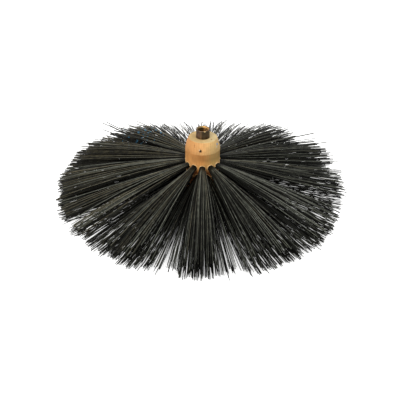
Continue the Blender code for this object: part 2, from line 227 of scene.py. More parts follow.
def stockBlank():
    radius, top, topRadius = stock["radius"], stock["top"], stock["topRadius"]
    foot, footEdge, edge = stock["foot"], stock["footEdge"], stock["topEdge"]
    line, seat, seatRadius = stock["shoulder"], stock["socketSeat"], socketHigh.x + stock["socketGap"]
    markRadius, markDepth = stock["centreMark"]
    holeRadius, holeFloor = stock["spigotHole"]
    profile = [(0, foot + markDepth), (markRadius, foot)]
    for step in range(6):    # rounded foot
        angle = math.radians(18 * step)
        profile.append((radius - footEdge * (1 - math.sin(angle)), foot + footEdge * (1 - math.cos(angle))))
    profile += [(radius, line - share * (line - foot - footEdge)) for share in stock["bandLoops"]]
    half = stock["line"][0] / 2
    profile += [(radius, line - half), (radius - stock["line"][1], line), (radius, line + half)]
    rise = top - edge - line - half
    for step in range(1, 13):    # bowed shoulder
        share = step / 12
        bow = 4 * share * (1 - share) * stock["shoulderBulge"]
        profile.append((radius + (topRadius - radius) * share + bow, line + half + rise * share))
    for step in range(1, 5):    # eased top edge
        angle = math.radians(22.5 * step)
        profile.append((topRadius - edge * (1 - math.cos(angle)), top - edge + edge * math.sin(angle)))
    profile += [(stock["topLoop"], top), (seatRadius, top), (seatRadius, seat), (holeRadius, seat),
                (holeRadius, holeFloor), (0, holeFloor)]
    bm = turned(profile, stock["sides"])
    length, depth = stock["uneven"]
    for vert in bm.verts:    # a little out of true, but for the socket's hole
        if vert.co.xy.length > seatRadius + mm:
            vert.co.xy *= 1 + noise.noise(vert.co / length) * depth / radius
    return meshOf(bm, "stockBlank")


def holeCutters():
    bm = bmesh.new()
    depth, overrun = holes["depth"], holes["overrun"]
    slope = (holes["mouth"] - holes["bottom"]) / depth
    lying = Matrix.Rotation(math.pi / 2, 4, "Y")
    middle = Matrix.Translation(((overrun - depth) / 2, 0, 0))
    for row in holes["rows"]:
        for index in range(holes["perRow"]):
            bmesh.ops.create_cone(bm, cap_ends=True, segments=holes["sides"], radius1=holes["bottom"],
                                  radius2=holes["mouth"] + slope * overrun, depth=depth + overrun,
                                  matrix=holePlace(row, index) @ middle @ lying)
    return meshOf(bm, "holeCutters")


def nailHole():    # a straight hole, ragged and wider where the nail went in
    radius, surface, farEnd = nail["holeRadius"], nail["surface"], nail["farEnd"]
    flare, depth, widest = nail["flare"]
    end = surface + nail["overrun"]
    profile = [(0, farEnd), (radius, farEnd), (radius, surface - depth), (flare, surface + widest),
               (flare, end), (0, end)]
    bm = turned(profile, nail["sides"])
    bmesh.ops.transform(bm, verts=bm.verts, matrix=Matrix.Translation((0, 0, nail["height"]))
                        @ Matrix.Rotation(math.radians(nail["azimuth"]), 4, "Z")
                        @ Matrix.Rotation(math.pi / 2, 4, "Y"))
    return meshOf(bm, "nailHole")


def nickCutters():
    bm = bmesh.new()
    for place, size, lean in nicks:
        width, height, depth = inMetres(size)
        matrix = (Matrix.Translation(inMetres(place))
                  @ Matrix.Rotation(math.atan2(place[1], place[0]), 4, "Z")
                  @ Matrix.Rotation(math.radians(lean), 4, "X")
                  @ Matrix.Diagonal((depth, width / 2, height / 2, 1)))
        bmesh.ops.create_icosphere(bm, subdivisions=2, radius=1, matrix=matrix)
    return meshOf(bm, "nickCutters")


nailHoleMesh = nailHole()
stockMesh = cutMesh(stockBlank(), [holeCutters(), nailHoleMesh, nickCutters()], "turnedStock")
print("stock turned and drilled:", len(stockMesh.polygons), "faces")


# Beech, turned on a lathe and left bare

beech = {
    "pith": (70 * mm, 38 * mm),    # how far off the tree's own middle lies, to the back left
    "ringWidth": 3.4 * mm,    # real rings are near 2 mm: drawn coarser, to show
    "ringRun": 0.08,    # how much the rings bend up the block
    "fibreWidth": 0.9 * mm,    # real fibres are finer: drawn as wide as shows
    "fibreLength": 16 * mm,
    "cloudWidth": 11.11 * mm,
    "toolSpacing": 1.4 * mm,
    "poreSpacing": 7 * mm,
    "ragged": (1.111 * mm, 0.8 * mm),    # size of the notches in a mark's edge, and how far they shift it
    "toneReach": 22 * mm,    # colours in threes are for the left, the middle and the right of this
    "tonePlaces": (0.1, 0.5, 0.85),
    # painted light and shade: the dome lit most at the front, the band darker (partly its own tone) and
    # shaded to the right
    "dome": ("#cc9154", "#e3ac6b", "#d2b073"),
    "band": ("#cf9150", "#b87c40", "#b09056"),
    "bandFoot": ("#d99a58", "#f0aa5c", "#dab26a"),
    "end": ("#a88c5b", "#b39866", "#b6a174"),
    "zones": {    # height where one starts to show, height where it shows in full, and how much
        "band": (stock["shoulder"] + 0.3 * mm, stock["shoulder"] - 0.1 * mm, 1.0),
        "bandFoot": (66 * mm, 59 * mm, 1.0),
        # painted shade low on the stock, between and under the tufts
        "lowShade": (53 * mm, 44 * mm, 0.92),
        "topEnd": (stock["top"] - 0.5 * mm, stock["top"] - 0.1 * mm, 0.95),
        "footEnd": (stock["foot"] + 0.9 * mm, stock["foot"] + 0.3 * mm, 0.95),
    },
    "ringTone": "#c98a4d",
    "fibreTone": "#a8683a",
    "pore": "#8a5830",
    # colour of the painted shade low on the stock
    "lowShade": "#84481f",
    "marks": [    # in mm: place, reach and softness; then colour
        ((22.1, -10.7, 86.4), 1.9, 0.6, "#5c90ba"),
        ((21.3, -14.0, 83.4), 1.3, 1.4, "#b9bfae"),
        # painted shade in the mouth of the nail's hole
        ((-3.1, -25.2, 80.7), 1.9, 0.7, "#22160c"),
        ((-3.5, -24.9, 84.6), 0.7, 0.6, "#8a5a34"),
        # painted highlight: a glint at the upper left of the nail's hole
        ((-4.9, -25.3, 82.8), 0.9, 0.4, "#fbf1da"),
        # painted shade along the crack
        ((-12.4, -19.4, 90.2), 0.7, 0.7, "#a0683c"),
        ((-12.3, -20.4, 88.2), 0.8, 0.8, "#a0683c"),
        ((-12.2, -21.2, 86.3), 0.7, 0.7, "#a0683c"),
        ((11.7, -21.4, 86.7), 0.5, 0.4, "#84552f"),
        ((11.7, -19.9, 90.1), 0.4, 0.4, "#84552f"),
        ((13.1, -9.3, 93.1), 1.2, 0.6, "#7a4c26"),
    ],
}


def turnedBeech():    # close pale orange wood, with fine long streaks up the sides and small pores
    material, tree, shader, place = newMaterial("turned_beech")
    parts = addNode(tree, "SeparateXYZ", {"Vector": place})
    ringPlace = addNode(tree, "Mapping", {"Vector": place},
                        {"Location": (*beech["pith"], 0), "Scale": (1, 1, beech["ringRun"])})
    rings = addNode(tree, "TexWave", {"Vector": (ringPlace, "Vector")},
                    {"Scale": waveScale(beech["ringWidth"]), "Distortion": 3.0, "Detail": 2.0,
                     "Detail Scale": 0.6}, wave_type="RINGS", rings_direction="Z")
    width, length = 1 / beech["fibreWidth"], 1 / beech["fibreLength"]
    fibrePlace = addNode(tree, "Mapping", {"Vector": place}, {"Scale": (width, width, length)})
    fibres = addNode(tree, "TexNoise", {"Vector": (fibrePlace, "Vector")},
                     {"Scale": 1.0, "Detail": 3.0, "Roughness": 0.6})
    clouds = addNode(tree, "TexNoise", {"Vector": place},
                     {"Scale": 1 / beech["cloudWidth"], "Detail": 3.0})

    # left to right across the stock: painted light and shade
    across = addNode(tree, "MapRange", {"Value": (parts, "X")},
                     {"From Min": -beech["toneReach"], "From Max": beech["toneReach"]})
    colour, band, bandFoot, endGrain = (
        addNode(tree, "ValToRGB", {"Fac": (across, "Result")}, stops=zip(beech["tonePlaces"], beech[key]))
        for key in ("dome", "band", "bandFoot", "end"))
    zones = {key: addNode(tree, "MapRange", {"Value": (parts, "Z")},
                          {"From Min": start, "From Max": full, "To Max": most})
             for key, (start, full, most) in beech["zones"].items()}
    band = addNode(tree, "MixRGB", {"Fac": (zones["bandFoot"], "Result"), "Color1": (band, "Color"),
                                    "Color2": (bandFoot, "Color")})
    colour = addNode(tree, "MixRGB", {"Fac": (zones["band"], "Result"), "Color1": (colour, "Color"),
                                      "Color2": (band, "Color")})
    for pattern, key, least, full, most in ((rings, "ringTone", 0.55, 1.0, 0.35),
                                            (fibres, "fibreTone", 0.5, 0.8, 0.3)):
        share = addNode(tree, "MapRange", {"Value": (pattern, "Fac")},
                        {"From Min": least, "From Max": full, "To Max": most})
        colour = addNode(tree, "MixRGB", {"Fac": (share, "Result"), "Color1": (colour, "Color")},
                         {"Color2": hexColour(beech[key])})
    # painted shade low on the stock
    colour = addNode(tree, "MixRGB", {"Fac": (zones["lowShade"], "Result"), "Color1": (colour, "Color")},
                     {"Color2": hexColour(beech["lowShade"])})
    for key in ("topEnd", "footEnd"):
        colour = addNode(tree, "MixRGB", {"Fac": (zones[key], "Result"), "Color1": (colour, "Color"),
                                          "Color2": (endGrain, "Color")})
    cloudTone = addNode(tree, "MapRange", {"Value": (clouds, "Fac")},
                        {"From Min": 0.3, "From Max": 0.7, "To Min": 0.87, "To Max": 1.14})
    colour = addNode(tree, "MixRGB", {"Color1": (colour, "Color"), "Color2": (cloudTone, "Result")},
                     {"Fac": 1.0}, blend_type="MULTIPLY")

    notch, shift = beech["ragged"]
    ragged = addNode(tree, "TexNoise", {"Vector": place}, {"Scale": 1 / notch, "Detail": 2.0})
    raggedShift = addNode(tree, "VectorMath", {0: (ragged, "Color")}, {1: [2 * shift] * 3, 2: [-shift] * 3},
                          operation="MULTIPLY_ADD")
    shifted = addNode(tree, "VectorMath", {0: place, 1: (raggedShift, "Vector")}, operation="ADD")
    for centre, reach, softness, tone in beech["marks"]:
        away = addNode(tree, "VectorMath", {0: (shifted, "Vector")}, {1: inMetres(centre)},
                       operation="DISTANCE")
        start, full = inMetres((reach + softness / 2, reach - softness / 2))
        share = addNode(tree, "MapRange", {"Value": (away, "Value")},
                        {"From Min": start, "From Max": full, "To Max": 0.85})
        colour = addNode(tree, "MixRGB", {"Fac": (share, "Result"), "Color1": (colour, "Color")},
                         {"Color2": hexColour(tone)})
    pores = addNode(tree, "TexVoronoi", {"Vector": place}, {"Scale": 1 / beech["poreSpacing"]})
    poreShare = addNode(tree, "MapRange", {"Value": (pores, "Distance")},
                        {"From Min": 0.07, "From Max": 0.04, "To Max": 0.5})
    colour = addNode(tree, "MixRGB", {"Fac": (poreShare, "Result"), "Color1": (colour, "Color")},
                     {"Color2": hexColour(beech["pore"])})

    roughness = addNode(tree, "MapRange", {"Value": (fibres, "Fac")}, {"To Min": 0.5, "To Max": 0.72})
    toolMarks = addNode(tree, "TexWave", {"Vector": place},
                        {"Scale": waveScale(beech["toolSpacing"]), "Distortion": 1.0}, bands_direction="Z")
    toolBump = addNode(tree, "Bump", {"Height": (toolMarks, "Fac")},
                       {"Strength": 0.25, "Distance": 0.04 * mm})
    fibreBump = addNode(tree, "Bump", {"Height": (fibres, "Fac"), "Normal": (toolBump, "Normal")},
                        {"Strength": 0.5, "Distance": 0.15 * mm})
    setNode(tree, shader, {"Base Color": (colour, "Color"), "Roughness": (roughness, "Result"),
                           "Normal": (fibreBump, "Normal")}, {"Specular IOR Level": 0.35})
    return material


addPiece("turned_stock", smoothShaded(stockMesh, 28), turnedBeech(), ["wood_stock"])


# Fibre torn up round the mouths of the holes

torn = {
    "loops": (    # inner edge, crest and outer edge: out from the mouth and up from the wood
        (-0.06 * mm, -0.7 * mm),
        (0.22 * mm, 0.5 * mm),
        (1.1 * mm, -0.3 * mm),
    ),
    "sides": 36,
    "rise": (0.3, 1.5),    # lowest and highest of the crest's points, as shares
    "waver": 0.35 * mm,    # of the lip's edge
    "spikeShare": 0.2,    # of the crest's points that stand up as splinters
    "spikeFrom": -0.3,    # no splinters lower than this share of the mouth
    "spike": (0.51 * mm, 1.7 * mm),    # shortest and longest
    "seed": 5,
    "tones": ("#c48a4e", "#e6bd80", "#f0d6a4"),
    "fibre": (0.7 * mm, 3 * mm),    # width and length
}


def tornLips():
    bm = bmesh.new()
    chance = random.Random(torn["seed"])
    (lowRise, highRise), (shortSpike, longSpike) = torn["rise"], torn["spike"]
    for height, turn in holes["rows"].values():
        for index in range(holes["perRow"]):
            loops = []
            for reach, stand in torn["loops"]:
                circle = bmesh.ops.create_circle(bm, cap_ends=False, segments=torn["sides"], radius=1)
                ring = circle["verts"]
                for vert in ring:
                    aside, upward = vert.co.x, vert.co.y
                    jitter = chance.random()
                    lift = stand
                    if stand > 0:
                        lift *= lowRise + (highRise - lowRise) * jitter
                        if upward > torn["spikeFrom"] and chance.random() < torn["spikeShare"]:
                            lift += shortSpike + (longSpike - shortSpike) * chance.random()
                    span = holes["mouth"] + reach + (torn["waver"] * (jitter - 0.5) if reach > 0 else 0)
                    angle = holeAzimuth(index, turn) + math.asin(span * aside / stock["radius"])
                    out = stock["radius"] + lift
                    vert.co = Vector((out * math.cos(angle), out * math.sin(angle), height + span * upward))
                loops.append([edge for edge in bm.edges if edge.verts[0] in ring and edge.verts[1] in ring])
            for one, other in ((0, 1), (1, 2), (2, 0)):
                bmesh.ops.bridge_loops(bm, edges=loops[one] + loops[other])
    bmesh.ops.recalc_face_normals(bm, faces=bm.faces)
    return meshOf(bm, "tornLips")


def tornFibre():    # raw split wood: paler and duller than the turned face
    material, tree, shader, place = newMaterial("torn_beech_fibre")
    width, length = (1 / size for size in torn["fibre"])
    stretched = addNode(tree, "Mapping", {"Vector": place}, {"Scale": (width, width, length)})
    fibres = addNode(tree, "TexNoise", {"Vector": (stretched, "Vector")}, {"Scale": 1.0, "Detail": 3.0})
    colour = addNode(tree, "ValToRGB", {"Fac": (fibres, "Fac")}, stops=zip((0.3, 0.5, 0.75), torn["tones"]))
    bump = addNode(tree, "Bump", {"Height": (fibres, "Fac")}, {"Strength": 0.6, "Distance": 0.2 * mm})
    setNode(tree, shader, {"Base Color": (colour, "Color"), "Normal": (bump, "Normal")}, {"Roughness": 0.8})
    return material


addPiece("torn_hole_lips", smoothShaded(tornLips(), 50), tornFibre())
print("hole mouths torn")


# Threaded socket: bored and threaded for a drain rod, with the nail's hole through it

socket = {
    "radius": socketHigh.x,
    "top": socketHigh.z,
    "foot": socketLow.z,
    "rimLand": 0.9 * mm,
    "rimEdge": 0.25 * mm,
    "mouthEdge": (0.1 * mm, 0.15 * mm),    # across and down
    "knocks": (2.2 * mm, 0.35 * mm, 0.3 * mm),    # length, depth, and how far down the rim they reach
    "bore": 7.9 * mm,    # crests of the thread
    "threadRoot": 9.45 * mm,
    "threadPitch": 2.54 * mm,
    "threadFlat": 0.25 * mm,    # half the flat at the roots, and the cutter's reach inside the crests
    "threadLand": 0.2 * mm,    # half the flat at the crests
    "threadTurns": 7.6,
    "threadSteps": 40,    # to a turn
    "threadBottom": 85.4 * mm,
    "spigot": 7.0 * mm,
    "spigotTop": 75.1 * mm,
    "loops": (94 * mm, 100 * mm),    # rings of points up the side
    "edge": 0.5 * mm,
    "sides": 72,
}


def socketBlank():
    radius, top, edge, rimEdge = socket["radius"], socket["top"], socket["edge"], socket["rimEdge"]
    foot, spigot, seat = socket["foot"], socket["spigot"], socket["spigotTop"]
    bore, floor = socket["bore"], socket["threadBottom"]
    mouth = radius - socket["rimLand"]
    aside, down = socket["mouthEdge"]
    profile = [(0, foot), (spigot - edge, foot), (spigot, foot + edge), (spigot, seat),
               (radius - edge, seat), (radius, seat + edge), *((radius, loop) for loop in socket["loops"]),
               (radius, top - rimEdge), (radius - rimEdge, top), (mouth + aside, top),
               (mouth - aside, top - down), (bore, top - (mouth - bore)), (bore, floor), (0, floor)]
    bm = turned(profile, socket["sides"])
    length, depth, reach = socket["knocks"]
    for vert in bm.verts:    # small knocks along the rim
        if vert.co.z > top - reach and vert.co.xy.length > mouth:
            vert.co.z -= max(0, noise.noise(vert.co / length)) * depth
    return meshOf(bm, "socketBlank")


def threadCutter():    # a V ridge wound up the bore, right-handed
    bm = bmesh.new()
    pitch, flat = socket["threadPitch"], socket["threadFlat"]
    turns, steps = socket["threadTurns"], socket["threadSteps"]
    half = pitch / 2 - socket["threadLand"]
    inner, outer = socket["bore"] - flat, socket["threadRoot"]
    corners = [(inner, -half), (outer, -flat), (outer, flat), (inner, half)]
    verts = [bm.verts.new((radius, 0, height)) for radius, height in corners]
    face = bm.faces.new(verts)
    bmesh.ops.translate(bm, verts=verts, vec=(0, 0, socket["threadBottom"] + pitch))
    bmesh.ops.spin(bm, geom=[face, *face.edges, *face.verts], axis=(0, 0, 1), cent=(0, 0, 0),
                   dvec=(0, 0, pitch / steps), steps=int(turns * steps), angle=turns * math.tau)
    bmesh.ops.remove_doubles(bm, verts=bm.verts, dist=weld)
    bmesh.ops.recalc_face_normals(bm, faces=bm.faces)
    return meshOf(bm, "threadCutter")


socketMesh = cutMesh(socketBlank(), [threadCutter(), nailHoleMesh], "threadedSocket")
print("socket cut:", len(socketMesh.polygons), "faces")

brass = {
    # painted reflection and shade on the outside: a pale streak left of the middle, the right half dark
    "outside": ((0.0, "#6c574a"), (0.24, "#6c574a"), (0.35, "#7a6349"), (0.47, "#4a3f30"),
                (1.0, "#4a3f30")),
    "outsideSpan": (-8.4 * mm, 12.4 * mm),    # those places run from left to right over this
    "outsideFrom": (9.6 * mm, 10.1 * mm),    # distance from the axis where the outside's colours set in
    "inside": ((0.35, "#7a5428"), (0.55, "#c99a5c")),
    # painted shade on the left of the inside
    "insideShadedLeft": "#83704a",
    "insideLitFrom": (-1 * mm, 2 * mm),    # how far right the painted light on the inside sets in
    "rim": "#6a5644",
    "rimDepth": (0.6 * mm, 0.3 * mm),    # where the rim's colour sets in, down from the top
    # pale colour of bare brass at the chip and of the painted highlight in the bore
    "bareAndHighlight": "#e8c890",
    "wornAndHighlit": [    # place, reach, how much of the pale colour
        ((2.9 * mm, -9.5 * mm, 106.3 * mm), 1.7 * mm, 0.9),    # chip in the rim
        ((5.0 * mm, 6.5 * mm, 102.0 * mm), 3.4 * mm, 0.8),    # painted highlight on the far thread
    ],
    "blotch": 3.846 * mm,
    "streak": (1.5 * mm, 12 * mm),    # width and length
    "streakShift": 4 * mm,
}


def patinatedBrass():    # brown oxide over turned brass, rubbed through to gold at a chip, with painted light, shade and reflection across it and a painted highlight in the bore
    material, tree, shader, place = newMaterial("turned_brass_brown_patina")
    parts = addNode(tree, "SeparateXYZ", {"Vector": place})
    blotches = addNode(tree, "TexNoise", {"Vector": place},
                       {"Scale": 1 / brass["blotch"], "Detail": 4.0, "Roughness": 0.6})
    width, length = (1 / size for size in brass["streak"])
    streakPlace = addNode(tree, "Mapping", {"Vector": place}, {"Scale": (width, width, length)})
    streaks = addNode(tree, "TexNoise", {"Vector": (streakPlace, "Vector")}, {"Scale": 1.0, "Detail": 2.0})
    uneven = addNode(tree, "Math", {0: (streaks, "Fac"), 2: (parts, "X")}, {1: brass["streakShift"]},
                     operation="MULTIPLY_ADD")
    flat = addNode(tree, "VectorMath", {0: place}, {1: (1, 1, 0)}, operation="MULTIPLY")
    span = addNode(tree, "VectorMath", {0: (flat, "Vector")}, operation="LENGTH")
    across, litRight, isOutside = (
        addNode(tree, "MapRange", {"Value": source}, {"From Min": brass[key][0], "From Max": brass[key][1]})
        for source, key in (((uneven, "Value"), "outsideSpan"), ((parts, "X"), "insideLitFrom"),
                            ((span, "Value"), "outsideFrom")))
    # painted reflection and shade from left to right
    outside = addNode(tree, "ValToRGB", {"Fac": (across, "Result")}, stops=brass["outside"])
    inside = addNode(tree, "ValToRGB", {"Fac": (blotches, "Fac")}, stops=brass["inside"])
    # painted light on the inside to the right, painted shade to the left
    inside = addNode(tree, "MixRGB", {"Fac": (litRight, "Result"), "Color2": (inside, "Color")},
                     {"Color1": hexColour(brass["insideShadedLeft"])})
    colour = addNode(tree, "MixRGB", {"Fac": (isOutside, "Result"), "Color1": (inside, "Color"),
                                      "Color2": (outside, "Color")})
    start, full = (socket["top"] - depth for depth in brass["rimDepth"])
    isRim = addNode(tree, "MapRange", {"Value": (parts, "Z")},
                    {"From Min": start, "From Max": full, "To Max": 0.9})
    colour = addNode(tree, "MixRGB", {"Fac": (isRim, "Result"), "Color1": (colour, "Color")},
                     {"Color2": hexColour(brass["rim"])})
    for centre, reach, most in brass["wornAndHighlit"]:
        away = addNode(tree, "VectorMath", {0: place}, {1: centre}, operation="DISTANCE")
        wornAndHighlit = addNode(tree, "MapRange", {"Value": (away, "Value")},
                         {"From Min": reach * 1.2, "From Max": reach * 0.5, "To Max": most})
        colour = addNode(tree, "MixRGB", {"Fac": (wornAndHighlit, "Result"), "Color1": (colour, "Color")},
                         {"Color2": hexColour(brass["bareAndHighlight"])})
    tone = addNode(tree, "MapRange", {"Value": (blotches, "Fac")},
                   {"From Min": 0.3, "From Max": 0.7, "To Min": 0.8, "To Max": 1.15})
    colour = addNode(tree, "MixRGB", {"Color1": (colour, "Color"), "Color2": (tone, "Result")},
                     {"Fac": 1.0}, blend_type="MULTIPLY")
    roughness = addNode(tree, "MapRange", {"Value": (blotches, "Fac")}, {"To Min": 0.3, "To Max": 0.55})
    bump = addNode(tree, "Bump", {"Height": (blotches, "Fac")}, {"Strength": 0.3, "Distance": 0.1 * mm})
    setNode(tree, shader, {"Base Color": (colour, "Color"), "Roughness": (roughness, "Result"),
                           "Normal": (bump, "Normal")}, {"Metallic": 1.0})
    return material


addPiece("threaded_brass_socket", smoothShaded(socketMesh, 35), patinatedBrass(),
         ["threaded_socket"])


# Nail: it keeps its solid

def brownedAndShadedSteel():    # hard-drawn nail: dull, with brown oxide, and painted near black as shade of its sunk hole
    material, tree, shader, place = newMaterial("drawn_steel_nail")
    blotches = addNode(tree, "TexNoise", {"Vector": place}, {"Scale": 1 / nail["blotch"], "Detail": 3.0})
    colour = addNode(tree, "ValToRGB", {"Fac": (blotches, "Fac")},
                     stops=zip((0.35, 0.5, 0.75), nail["tones"]))
    setNode(tree, shader, {"Base Color": (colour, "Color")}, {"Metallic": 1.0, "Roughness": 0.65})
    return material


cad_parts["locking_pin"].material_slots[0].material = brownedAndShadedSteel()
print("metal finished")


# Bristle tufts

bristle = {
    "count": 80,
    "width": 0.95 * mm,
    "widthShares": (0.92, 1.06),    # thinnest and thickest
    "packing": 0.9 * mm,    # from one bristle to the next in the hole
    "rootTaper": 6,    # how fast a tuft narrows inside its hole
    "sides": 5,
    "stations": (-0.045, -0.002, 0.07, 0.2, 0.38, 0.58, 0.8, 1.0),    # shares of the way to the tip
    "reach": 225 * mm,    # axis to the furthest tips
    "tipBack": (6.0 * mm, 2.64 * mm, 1.8 * mm),    # from there: the mean, and how clumps and bristles vary
    "shuffle": 0.3,    # how far a bristle may leave its turn in the fan, in places
    "fanPower": 0.86,    # 1 spreads evenly from the mouth on, less spreads sooner
    "puff": (3.0 * mm, 4.0 * mm),    # how far a tuft swells midway, aside and up
    "clump": (3, 8),    # least and most bristles whose tips draw together
    "clumpHold": 0.65,    # how far they draw together
    "clumpPower": 2.5,    # higher closes the clump nearer the tips
    "stray": (1.1 * mm, 1.3 * mm),    # of a tip, aside and up
    "wave": 0.3 * mm,
    "looseShare": 0.03,    # of bristles that stand off
    "loose": 12 * mm,    # how far
    "looseLength": (-1, 0.4),    # shortest and longest, in shares of that
    "looseThick": 1.25,
    "lines": ((3, 0.45), (6, 0.16), (12, 0.0)),    # one bristle to so many, the topmost, is painted with a highlight from this share out
    "tones": (0.07, 0.38),    # of a dark bristle and of one painted with a highlight
    "toneSpread": (0.2, 0.1),    # by bristle and by clump
    "warmthSpread": (0.6, 0.4),
    "shadePower": 1.5,    # higher keeps the painted shade further out
    "seed": 7,
}
tuftRows = {    # height of the tips, half their spread, half the fan's width, painted shade at the root (painted light below 0)
    "upper": {"tip": 19.5 * mm, "spread": 8.0 * mm, "halfWidth": 47 * mm, "shade": -0.04},
    "middle": {"tip": 8.0 * mm, "spread": 7.0 * mm, "halfWidth": 46 * mm, "shade": 0.25},
    "lower": {"tip": 3.4 * mm, "spread": 2.8 * mm, "halfWidth": 46 * mm, "shade": 0.45},
}

# What sets a tuft apart, by row and number, with lengths in mm. Shares of the common values: width,
# height, count, thick, stray, loose. Shifts: aside, raise, longer, tone (painted light and shade by
# where the tuft sits). Own values: shade (painted shade at the root), fanPower, part (how far the tips
# leave the middle open) and ends (of bristles that stand off alone: aside, height, out from the axis).
tuftLay = {
    ("upper", 1): {"width": 0.62, "tone": -0.1, "shade": -0.16, "fanPower": 0.95},
    ("upper", 2): {"tone": -0.03, "thick": 1.1, "fanPower": 1.1},
    ("upper", 3): {"longer": 3, "count": 0.9, "tone": 0.06, "fanPower": 1.2},
    ("upper", 4): {"raise": 11, "count": 0.85, "stray": 2, "tone": -0.02, "fanPower": 1.1},
    ("upper", 5): {"raise": 11, "thick": 1.3, "tone": -0.05, "ends": [(44, 42, 229)]},
    ("upper", 6): {"raise": 6, "thick": 1.15, "tone": -0.03},
    ("upper", 7): {"height": 0.8, "raise": -2, "count": 0.38, "thick": 1.2, "tone": 0.08, "loose": 3},
    ("upper", 8): {"height": 0.7, "raise": -4, "count": 0.28, "thick": 1.15, "tone": 0.08, "loose": 1.5},
    ("upper", 9): {"raise": -1, "thick": 1.3, "loose": 2,
                   "ends": [(39, 43, 232), (30, 42, 230), (41, 32, 228), (27, 36, 226), (-14, 24, 229)]},
    ("upper", 10): {"raise": 1.5, "longer": 2, "thick": 1.3, "loose": 2},
    ("upper", 11): {"aside": -2, "longer": 3, "thick": 1.15, "stray": 0.7, "tone": 0.04, "fanPower": 1.2},
    ("upper", 12): {"aside": -1, "width": 0.96, "longer": 5, "count": 0.88, "part": 0.19,
                    "stray": 0.5, "tone": 0.07, "fanPower": 1.2},
    ("upper", 13): {"aside": -5, "thick": 1.1, "tone": -0.03, "fanPower": 1.35},
    ("middle", 1): {"aside": -2, "raise": 5, "count": 0.85, "part": 0.07, "shade": 0.1},
    ("middle", 2): {"shade": 0.4},
    ("middle", 3): {"longer": -15, "count": 0.75, "stray": 2, "shade": 0.45},
    ("middle", 4): {"longer": -2, "count": 0.7, "part": 0.12, "stray": 0.8, "shade": 0.25},
    ("middle", 5): {"raise": 6, "tone": -0.06, "shade": 0.3},
    ("middle", 6): {"raise": 4, "count": 0.8, "shade": 0.3},
    ("middle", 7): {"aside": -12, "raise": 3, "width": 0.7, "count": 0.4, "thick": 1.3},
    ("middle", 8): {"aside": 3, "raise": 3, "width": 0.85, "thick": 1.2, "shade": 0.3},
    ("middle", 9): {"raise": 8, "thick": 1.3, "shade": 0.25},
    ("middle", 10): {"raise": 7, "longer": 4, "thick": 1.2, "shade": 0.35},
    ("middle", 11): {"aside": -5, "raise": 3, "longer": 5, "width": 0.8, "thick": 1.3, "stray": 0.6,
                     "shade": 0.85},
    ("middle", 12): {"raise": 3, "longer": 3},
    ("middle", 13): {"aside": 7, "raise": 5, "count": 0.85, "part": 0.09, "fanPower": 1.35},
    ("lower", 1): {"width": 0.8},
    ("lower", 3): {"count": 0.8},
    ("lower", 4): {"count": 0.5},
    ("lower", 5): {"thick": 1.2},
    ("lower", 6): {"raise": 5},
    ("lower", 7): {"count": 0.3},
    ("lower", 8): {"count": 0.2, "thick": 1.3},
    ("lower", 9): {"raise": 6},
    ("lower", 10): {"raise": 8},
    ("lower", 11): {"thick": 1.3, "shade": 0.9},
    ("lower", 12): {"aside": -20, "longer": 5, "count": 0.4, "part": 0.2, "stray": 0.6},
}


def packedPlaces(count):    # the places of a close-packed bundle nearest a point a little off its middle
    span = range(-6, 7)
    rowRise = math.sqrt(3) / 2
    places = [Vector((i + (j % 2) / 2 + 0.13, j * rowRise + 0.07)) for i in span for j in span]
    return sorted(places, key=lambda place: place.length)[:count]


def unitStrand():    # one bristle, as long and as thick as 1
    bm = bmesh.new()
    bmesh.ops.create_cone(bm, cap_ends=True, segments=bristle["sides"], radius1=1, radius2=1, depth=1)
    lengthwise = [edge for edge in bm.edges if abs(edge.verts[0].co.z - edge.verts[1].co.z) > 0.5]
    bmesh.ops.subdivide_edges(bm, edges=lengthwise, cuts=len(bristle["stations"]) - 2)
    return meshOf(bm, "unitStrand")


def layStrand(bm, unit, centres, radius, tones, warmth):    # bends the unit strand along the centres
    toneLayer = bm.verts.layers.float["tone"]
    warmthLayer = bm.verts.layers.float["warmth"]
    first = len(bm.verts)
    bm.from_mesh(unit)
    bm.verts.ensure_lookup_table()
    last = len(centres) - 1
    for vert in bm.verts[first:]:
        station = round((vert.co.z + 0.5) * last)
        ahead = (centres[min(station + 1, last)] - centres[max(station - 1, 0)]).normalized()
        side = ahead.cross(Vector((0, 0, 1))).normalized()
        below = ahead.cross(side)
        vert.co = centres[station] + radius * (vert.co.x * side + vert.co.y * below)
        vert[toneLayer] = tones[station]
        vert[warmthLayer] = warmth


def strandMesh():    # an empty mesh that holds a tone and a warmth for each point
    bm = bmesh.new()
    bm.verts.layers.float.new("tone")
    bm.verts.layers.float.new("warmth")
    return bm


def highlitFrom(places):    # by rank across the tuft: from what share of the way out a bristle is painted with a highlight
    starts = [2.0] * len(places)    # past the tip, so never
    for group, start in bristle["lines"]:
        for first in range(0, len(places), group):
            run = range(first, min(first + group, len(places)))
            starts[max(run, key=lambda rank: places[rank].y)] = start
    return starts


def clumpsAcross(count, chance):    # one entry to a bristle, shared by the clump
    clumps = []
    while len(clumps) < count:
        size = chance.randint(*bristle["clump"])
        middle = 2 * (len(clumps) + size / 2) / count - 1
        clumps += [(middle, chance.gauss(0, 1), chance.random(), chance.random())] * size
    return clumps[:count]


